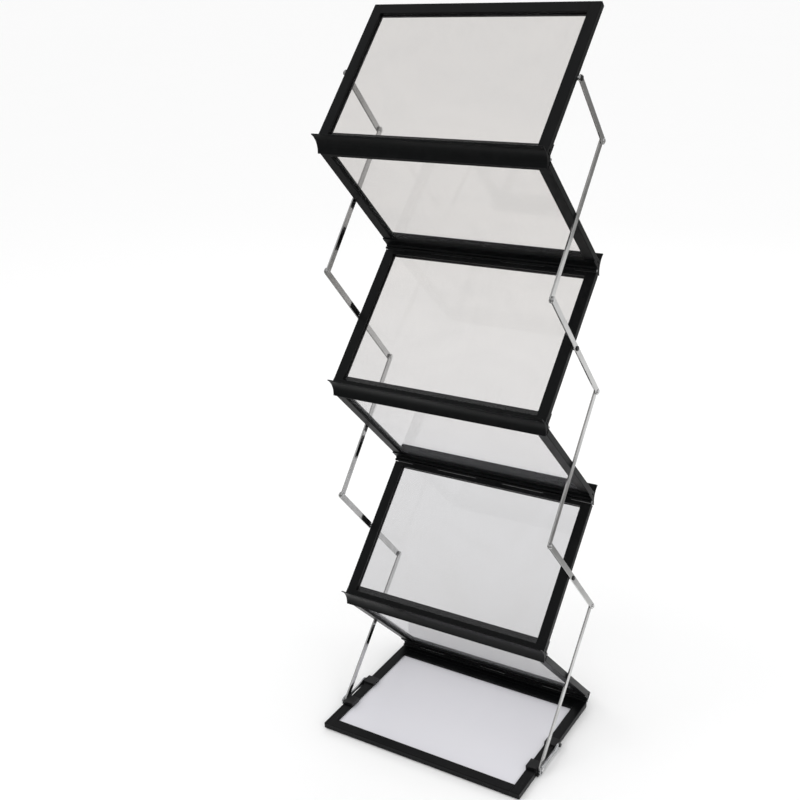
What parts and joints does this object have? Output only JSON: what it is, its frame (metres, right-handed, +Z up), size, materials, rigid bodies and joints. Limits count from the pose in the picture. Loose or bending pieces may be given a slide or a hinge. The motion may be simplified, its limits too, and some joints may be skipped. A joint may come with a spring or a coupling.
{
  "type": "folding brochure rack",
  "caption": "Folding two-sided literature rack: a zig-zag of black-framed clear shelves on a flat base frame, hinged edge to edge and linked by flat chrome side arms.",
  "frame": {"origin": "on the floor under the centre of the overall box of the opened rack", "axes": "+X across the rack to the right of a reader standing in front, -Y towards that reader, +Z up"},
  "size_m": [0.4638, 0.3663, 1.3855],
  "materials": {
    "frame_black": "satin black anodised extruded aluminium",
    "lip_black": "satin black anodised aluminium on a ribbed extruded profile",
    "acrylic_clear": "clear polished acrylic sheet with faint grey tint",
    "board_white": "opal white semi-gloss plastic sheet",
    "arm_chrome": "bright chrome plate on flat steel bar",
    "rivet_bright": "bright nickel plated steel",
    "pin_steel": "drawn steel pin",
    "latch_zinc": "stamped zinc plated steel",
    "fastener_dark": "black oxide steel fastener",
    "block_plastic": "moulded black nylon",
    "foot_rubber": "black rubber pad"
  },
  "bodies": {
    "base": {"base_side_rails": "frame_black", "base_cross_rails": "frame_black", "base_board": "board_white", "base_feet": "foot_rubber", "latch_pivot_blocks": "block_plastic", "foot_rest_blocks": "block_plastic", "latch_screws": "fastener_dark"},
    "rear_shelf_1": {"rear_shelf_1_rails": "frame_black", "rear_shelf_1_bottom_rail": "frame_black", "rear_shelf_1_acrylic": "acrylic_clear", "rear_shelf_1_hinge_pin": "pin_steel"},
    "front_shelf_1": {"front_shelf_1_rails": "frame_black", "front_shelf_1_lip_profile": "lip_black", "front_shelf_1_acrylic": "acrylic_clear", "front_shelf_1_hinge_pin": "pin_steel", "front_shelf_1_arm_pins": "fastener_dark", "front_shelf_1_spacers": "arm_chrome"},
    "rear_shelf_2": {"rear_shelf_2_rails": "frame_black", "rear_shelf_2_lip_profile": "lip_black", "rear_shelf_2_acrylic": "acrylic_clear", "rear_shelf_2_hinge_pin": "pin_steel"},
    "front_shelf_2": {"front_shelf_2_rails": "frame_black", "front_shelf_2_lip_profile": "lip_black", "front_shelf_2_acrylic": "acrylic_clear", "front_shelf_2_hinge_pin": "pin_steel", "front_shelf_2_arm_pins": "fastener_dark", "front_shelf_2_spacers": "arm_chrome"},
    "rear_shelf_3": {"rear_shelf_3_rails": "frame_black", "rear_shelf_3_lip_profile": "lip_black", "rear_shelf_3_acrylic": "acrylic_clear", "rear_shelf_3_hinge_pin": "pin_steel"},
    "front_shelf_3": {"front_shelf_3_rails": "frame_black", "front_shelf_3_lip_profile": "lip_black", "front_shelf_3_acrylic": "acrylic_clear", "front_shelf_3_hinge_pin": "pin_steel", "front_shelf_3_arm_pins": "fastener_dark", "front_shelf_3_spacers": "arm_chrome"},
    "arm_1_right": {"arm_1_right": "arm_chrome", "arm_1_right_rivets": "rivet_bright"},
    "arm_2_right": {"arm_2_right": "arm_chrome"},
    "arm_3_right": {"arm_3_right": "arm_chrome", "arm_3_right_rivets": "rivet_bright"},
    "arm_4_right": {"arm_4_right": "arm_chrome"},
    "arm_5_right": {"arm_5_right": "arm_chrome", "arm_5_right_rivets": "rivet_bright"},
    "arm_6_right": {"arm_6_right": "arm_chrome", "foot_stud_right": "rivet_bright"},
    "latch_right": {"latch_right": "latch_zinc"},
    "arm_1_left": {"arm_1_left": "arm_chrome", "arm_1_left_rivets": "rivet_bright"},
    "arm_2_left": {"arm_2_left": "arm_chrome"},
    "arm_3_left": {"arm_3_left": "arm_chrome", "arm_3_left_rivets": "rivet_bright"},
    "arm_4_left": {"arm_4_left": "arm_chrome"},
    "arm_5_left": {"arm_5_left": "arm_chrome", "arm_5_left_rivets": "rivet_bright"},
    "arm_6_left": {"arm_6_left": "arm_chrome", "foot_stud_left": "rivet_bright"},
    "latch_left": {"latch_left": "latch_zinc"}
  },
  "joints": [
    {"name": "fold", "type": "hinge", "parent": "base", "child": "rear_shelf_1", "pos_m": [0, 0.1309, 0.01475], "axis": [1, 0, 0], "range_deg": [0, 47]},
    {"name": "front_shelf_1_hinge", "type": "hinge", "parent": "rear_shelf_1", "child": "front_shelf_1", "pos_m": [0, -0.05998, 0.24877], "axis": [1, 0, 0], "range_deg": [-91.01, 0]},
    {"name": "rear_shelf_2_hinge", "type": "hinge", "parent": "front_shelf_1", "child": "rear_shelf_2", "pos_m": [0, 0.14289, 0.47249], "axis": [1, 0, 0], "range_deg": [0, 91.01]},
    {"name": "front_shelf_2_hinge", "type": "hinge", "parent": "rear_shelf_2", "child": "front_shelf_2", "pos_m": [0, -0.048, 0.70651], "axis": [1, 0, 0], "range_deg": [-91.01, 0]},
    {"name": "rear_shelf_3_hinge", "type": "hinge", "parent": "front_shelf_2", "child": "rear_shelf_3", "pos_m": [0, 0.15487, 0.93022], "axis": [1, 0, 0], "range_deg": [0, 91.01]},
    {"name": "front_shelf_3_hinge", "type": "hinge", "parent": "rear_shelf_3", "child": "front_shelf_3", "pos_m": [0, -0.03601, 1.16425], "axis": [1, 0, 0], "range_deg": [-91.01, 0]},
    {"name": "arm_1_right_pivot", "type": "hinge", "parent": "front_shelf_3", "child": "arm_1_right", "pos_m": [0.2285, 0.06542, 1.2761], "axis": [1, 0, 0], "range_deg": [0, 91.01]},
    {"name": "arm_2_right_pivot", "type": "hinge", "parent": "arm_1_right", "child": "arm_2_right", "pos_m": [0.2285, 0.16087, 1.15909], "axis": [1, 0, 0], "range_deg": [-91.01, 0]},
    {"name": "arm_3_right_pivot", "type": "hinge", "parent": "front_shelf_2", "child": "arm_3_right", "pos_m": [0.2285, 0.05344, 0.81837], "axis": [1, 0, 0], "range_deg": [0, 91.01]},
    {"name": "arm_4_right_pivot", "type": "hinge", "parent": "arm_3_right", "child": "arm_4_right", "pos_m": [0.2285, 0.14888, 0.70136], "axis": [1, 0, 0], "range_deg": [-91.01, 0]},
    {"name": "arm_5_right_pivot", "type": "hinge", "parent": "front_shelf_1", "child": "arm_5_right", "pos_m": [0.2285, 0.04145, 0.36063], "axis": [1, 0, 0], "range_deg": [0, 91.01]},
    {"name": "arm_6_right_pivot", "type": "hinge", "parent": "arm_5_right", "child": "arm_6_right", "pos_m": [0.2285, 0.13689, 0.24362], "axis": [1, 0, 0], "range_deg": [-91.01, 0]},
    {"name": "latch_right_lift", "type": "hinge", "parent": "base", "child": "latch_right", "pos_m": [0.2285, -0.0191, 0.013], "axis": [1, 0, 0], "range_deg": [-173.91, 0]},
    {"name": "arm_1_left_pivot", "type": "hinge", "parent": "front_shelf_3", "child": "arm_1_left", "pos_m": [-0.2285, 0.06542, 1.2761], "axis": [1, 0, 0], "range_deg": [0, 91.01]},
    {"name": "arm_2_left_pivot", "type": "hinge", "parent": "arm_1_left", "child": "arm_2_left", "pos_m": [-0.2285, 0.16087, 1.15909], "axis": [1, 0, 0], "range_deg": [-91.01, 0]},
    {"name": "arm_3_left_pivot", "type": "hinge", "parent": "front_shelf_2", "child": "arm_3_left", "pos_m": [-0.2285, 0.05344, 0.81837], "axis": [1, 0, 0], "range_deg": [0, 91.01]},
    {"name": "arm_4_left_pivot", "type": "hinge", "parent": "arm_3_left", "child": "arm_4_left", "pos_m": [-0.2285, 0.14888, 0.70136], "axis": [1, 0, 0], "range_deg": [-91.01, 0]},
    {"name": "arm_5_left_pivot", "type": "hinge", "parent": "front_shelf_1", "child": "arm_5_left", "pos_m": [-0.2285, 0.04145, 0.36063], "axis": [1, 0, 0], "range_deg": [0, 91.01]},
    {"name": "arm_6_left_pivot", "type": "hinge", "parent": "arm_5_left", "child": "arm_6_left", "pos_m": [-0.2285, 0.13689, 0.24362], "axis": [1, 0, 0], "range_deg": [-91.01, 0]},
    {"name": "latch_left_lift", "type": "hinge", "parent": "base", "child": "latch_left", "pos_m": [-0.2285, -0.0191, 0.013], "axis": [1, 0, 0], "range_deg": [-173.91, 0]}
  ],
  "couplings": [
    {"joint": "front_shelf_1_hinge", "follows": "fold", "ratio": -1.9362},
    {"joint": "rear_shelf_2_hinge", "follows": "fold", "ratio": 1.9362},
    {"joint": "front_shelf_2_hinge", "follows": "fold", "ratio": -1.9362},
    {"joint": "rear_shelf_3_hinge", "follows": "fold", "ratio": 1.9362},
    {"joint": "front_shelf_3_hinge", "follows": "fold", "ratio": -1.9362},
    {"joint": "arm_1_right_pivot", "follows": "fold", "ratio": 1.9362},
    {"joint": "arm_2_right_pivot", "follows": "fold", "ratio": -1.9362},
    {"joint": "arm_3_right_pivot", "follows": "fold", "ratio": 1.9362},
    {"joint": "arm_4_right_pivot", "follows": "fold", "ratio": -1.9362},
    {"joint": "arm_5_right_pivot", "follows": "fold", "ratio": 1.9362},
    {"joint": "arm_6_right_pivot", "follows": "fold", "ratio": -1.9362},
    {"joint": "latch_right_lift", "follows": "fold", "ratio": -3.7},
    {"joint": "arm_1_left_pivot", "follows": "fold", "ratio": 1.9362},
    {"joint": "arm_2_left_pivot", "follows": "fold", "ratio": -1.9362},
    {"joint": "arm_3_left_pivot", "follows": "fold", "ratio": 1.9362},
    {"joint": "arm_4_left_pivot", "follows": "fold", "ratio": -1.9362},
    {"joint": "arm_5_left_pivot", "follows": "fold", "ratio": 1.9362},
    {"joint": "arm_6_left_pivot", "follows": "fold", "ratio": -1.9362},
    {"joint": "latch_left_lift", "follows": "fold", "ratio": -3.7}
  ]
}
